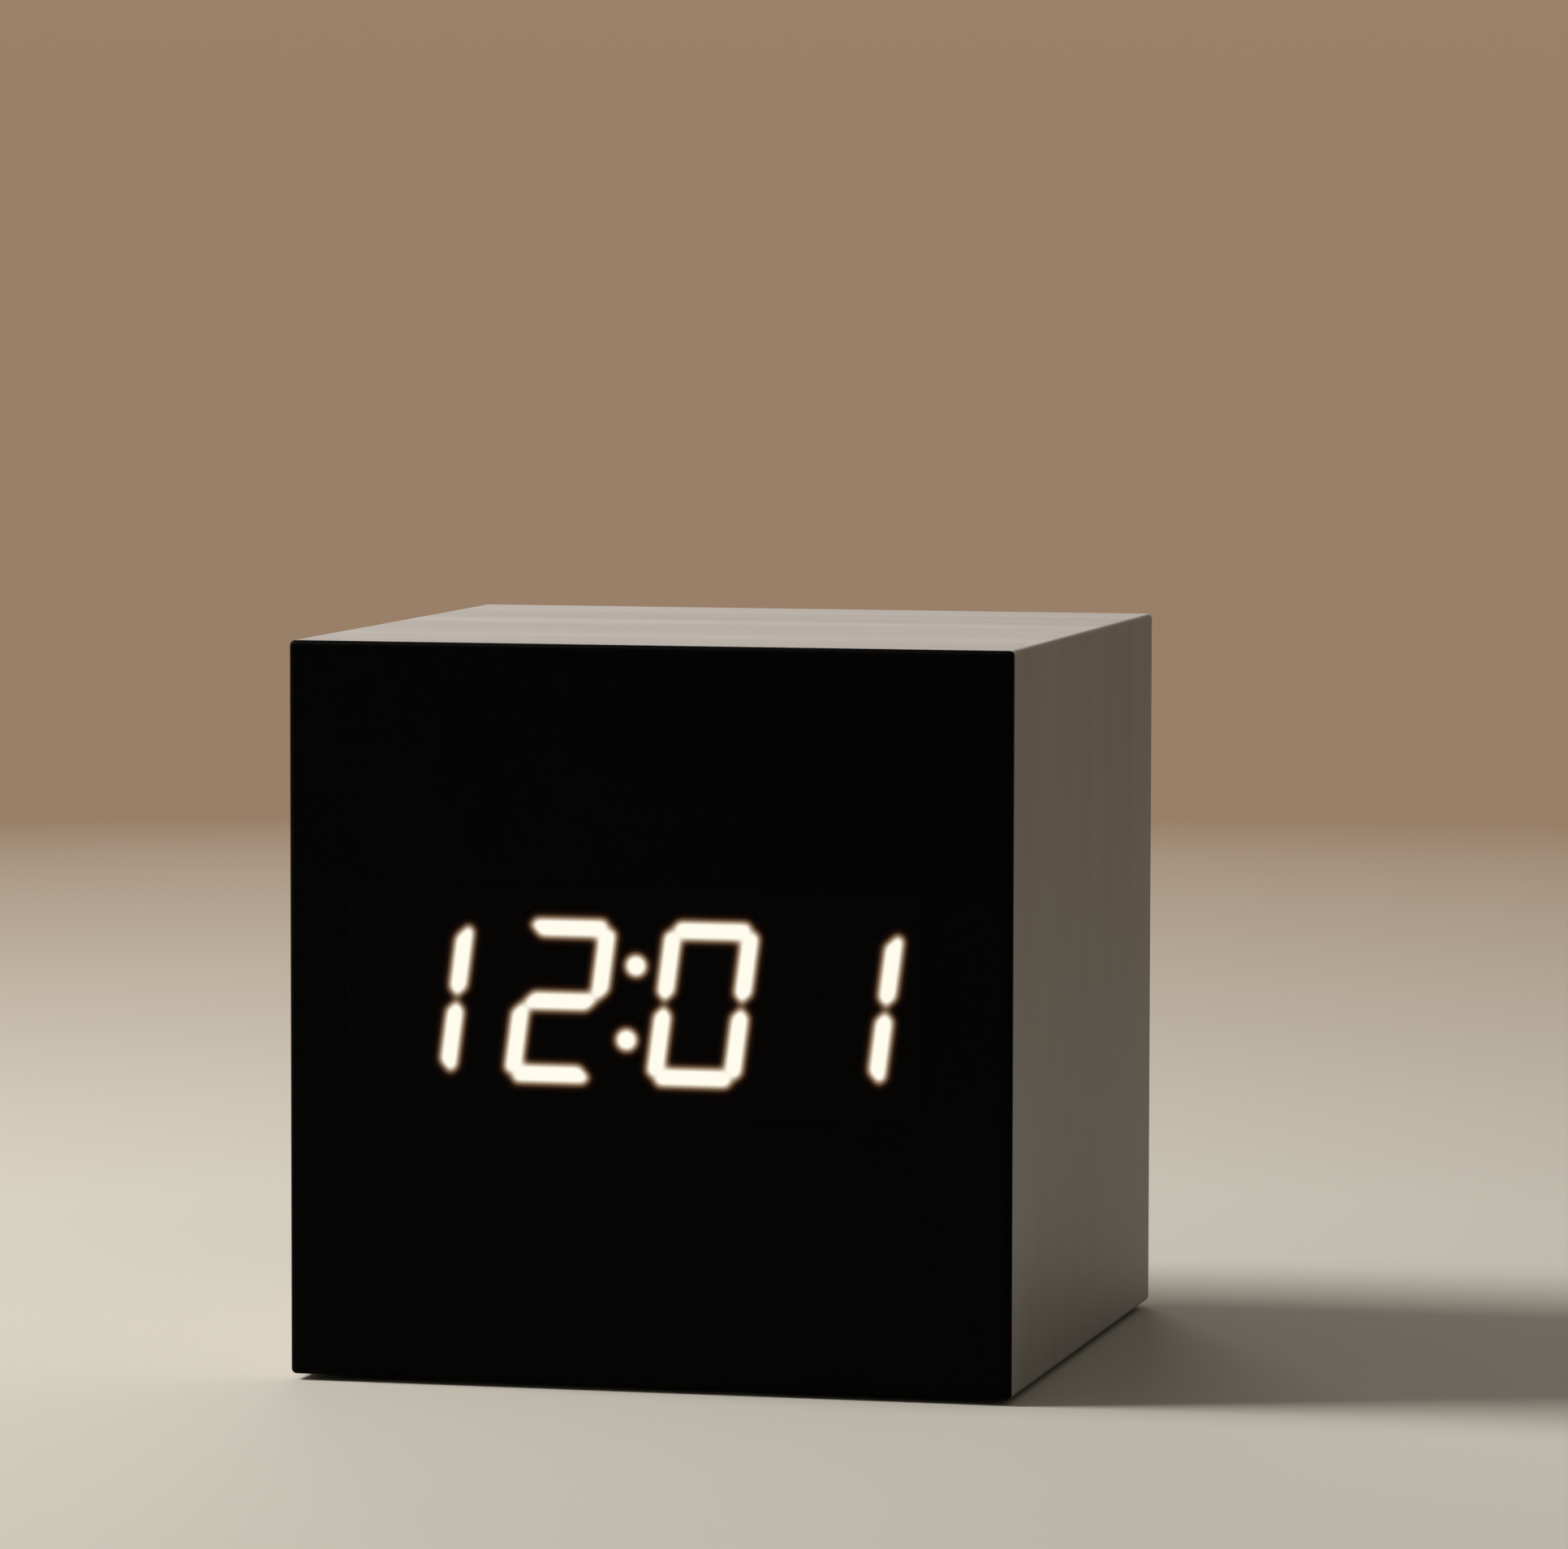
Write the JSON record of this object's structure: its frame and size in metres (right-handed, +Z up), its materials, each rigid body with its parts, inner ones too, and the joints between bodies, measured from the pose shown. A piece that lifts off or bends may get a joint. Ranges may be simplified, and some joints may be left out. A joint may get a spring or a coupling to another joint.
{
  "type": "led desk clock",
  "caption": "Cube-shaped desk clock in brushed silver film with a smoked black front, slanted warm-white segment digits, rear buttons, a power socket and a cell bay.",
  "frame": {"origin": "middle of the base, on the surface that the clock stands on, at the pads' underside", "axes": "the smoked front with the digits faces -Y, the rear panel faces +Y, +X is to the right as seen from the front, and +Z is up"},
  "size_m": [0.063, 0.063, 0.0635],
  "materials": {
    "silver_film": "satin",
    "smoke_film": "satin",
    "fibreboard": "matte",
    "black_fibreboard": "matte",
    "pine": "matte",
    "foam_rubber": "matte",
    "black_abs": "matte",
    "grey_button": "satin",
    "zinc_steel": "satin",
    "nickel": "polished",
    "brass_pin": "polished",
    "cell_jacket": "satin",
    "switch_black": "satin",
    "switch_plunger": "matte",
    "green_board": "satin",
    "chip_black": "matte",
    "solder_tin": "satin",
    "led_housing": "matte",
    "segment_lit": "satin",
    "segment_dark": "satin",
    "led_chip": "matte",
    "white_nylon": "satin",
    "red_wire": "satin",
    "black_wire": "satin",
    "grey_cable": "satin",
    "resistor_body": "satin",
    "capacitor_can": "satin",
    "bead_epoxy": "gloss"
  },
  "bodies": {
    "case": {"battery_contacts": "nickel", "battery_springs": "nickel", "battery_tray": "black_abs", "black_wires": "black_wire", "board_screws": "zinc_steel", "board_spacers": "white_nylon", "bottom_board": "fibreboard", "button_board": "green_board", "button_board_screws": "zinc_steel", "button_cable": "grey_cable", "buzzer": "chip_black", "capacitors": "capacitor_can", "case_film": "silver_film", "cell_1": "cell_jacket", "cell_2": "cell_jacket", "cell_3": "cell_jacket", "chip_legs": "solder_tin", "clock_chip": "chip_black", "colon_lit": "segment_lit", "corner_blocks": "pine", "crystal": "solder_tin", "dc_socket": "switch_black", "dc_socket_pin": "brass_pin", "dc_socket_tags": "solder_tin", "digit_1_dark": "segment_dark", "digit_1_lit": "segment_lit", "digit_2_dark": "segment_dark", "digit_2_lit": "segment_lit", "digit_3_dark": "segment_dark", "digit_3_lit": "segment_lit", "digit_4_dark": "segment_dark", "digit_4_lit": "segment_lit", "foot_pads": "foam_rubber", "front_board": "black_fibreboard", "front_film": "smoke_film", "led_chips": "led_chip", "led_module": "led_housing", "left_board": "fibreboard", "main_board": "green_board", "microphone": "solder_tin", "module_board": "green_board", "module_pins": "solder_tin", "panel_posts": "black_abs", "rear_panel": "black_abs", "rear_screws": "zinc_steel", "red_wires": "red_wire", "resistors": "resistor_body", "right_board": "fibreboard", "switch_bodies": "switch_black", "thermistor": "bead_epoxy", "top_board": "fibreboard", "transistors": "chip_black", "wire_headers": "white_nylon"},
    "battery_cover": {"battery_door": "black_abs"},
    "set_key": {"set_button": "grey_button", "set_plunger": "switch_plunger"},
    "up_key": {"up_button": "grey_button", "up_plunger": "switch_plunger"},
    "down_key": {"down_button": "grey_button", "down_plunger": "switch_plunger"}
  },
  "joints": [
    {"name": "set_press", "type": "slide", "parent": "case", "child": "set_key", "axis": [0, -1, 0], "range_m": [0, 0.0004], "stiffness_N_per_m": 1500},
    {"name": "up_press", "type": "slide", "parent": "case", "child": "up_key", "axis": [0, -1, 0], "range_m": [0, 0.0004], "stiffness_N_per_m": 1500},
    {"name": "down_press", "type": "slide", "parent": "case", "child": "down_key", "axis": [0, -1, 0], "range_m": [0, 0.0004], "stiffness_N_per_m": 1500},
    {"name": "cover_lift", "type": "slide", "parent": "case", "child": "battery_cover", "axis": [0, 1, 0], "range_m": [0, 0.03]}
  ]
}
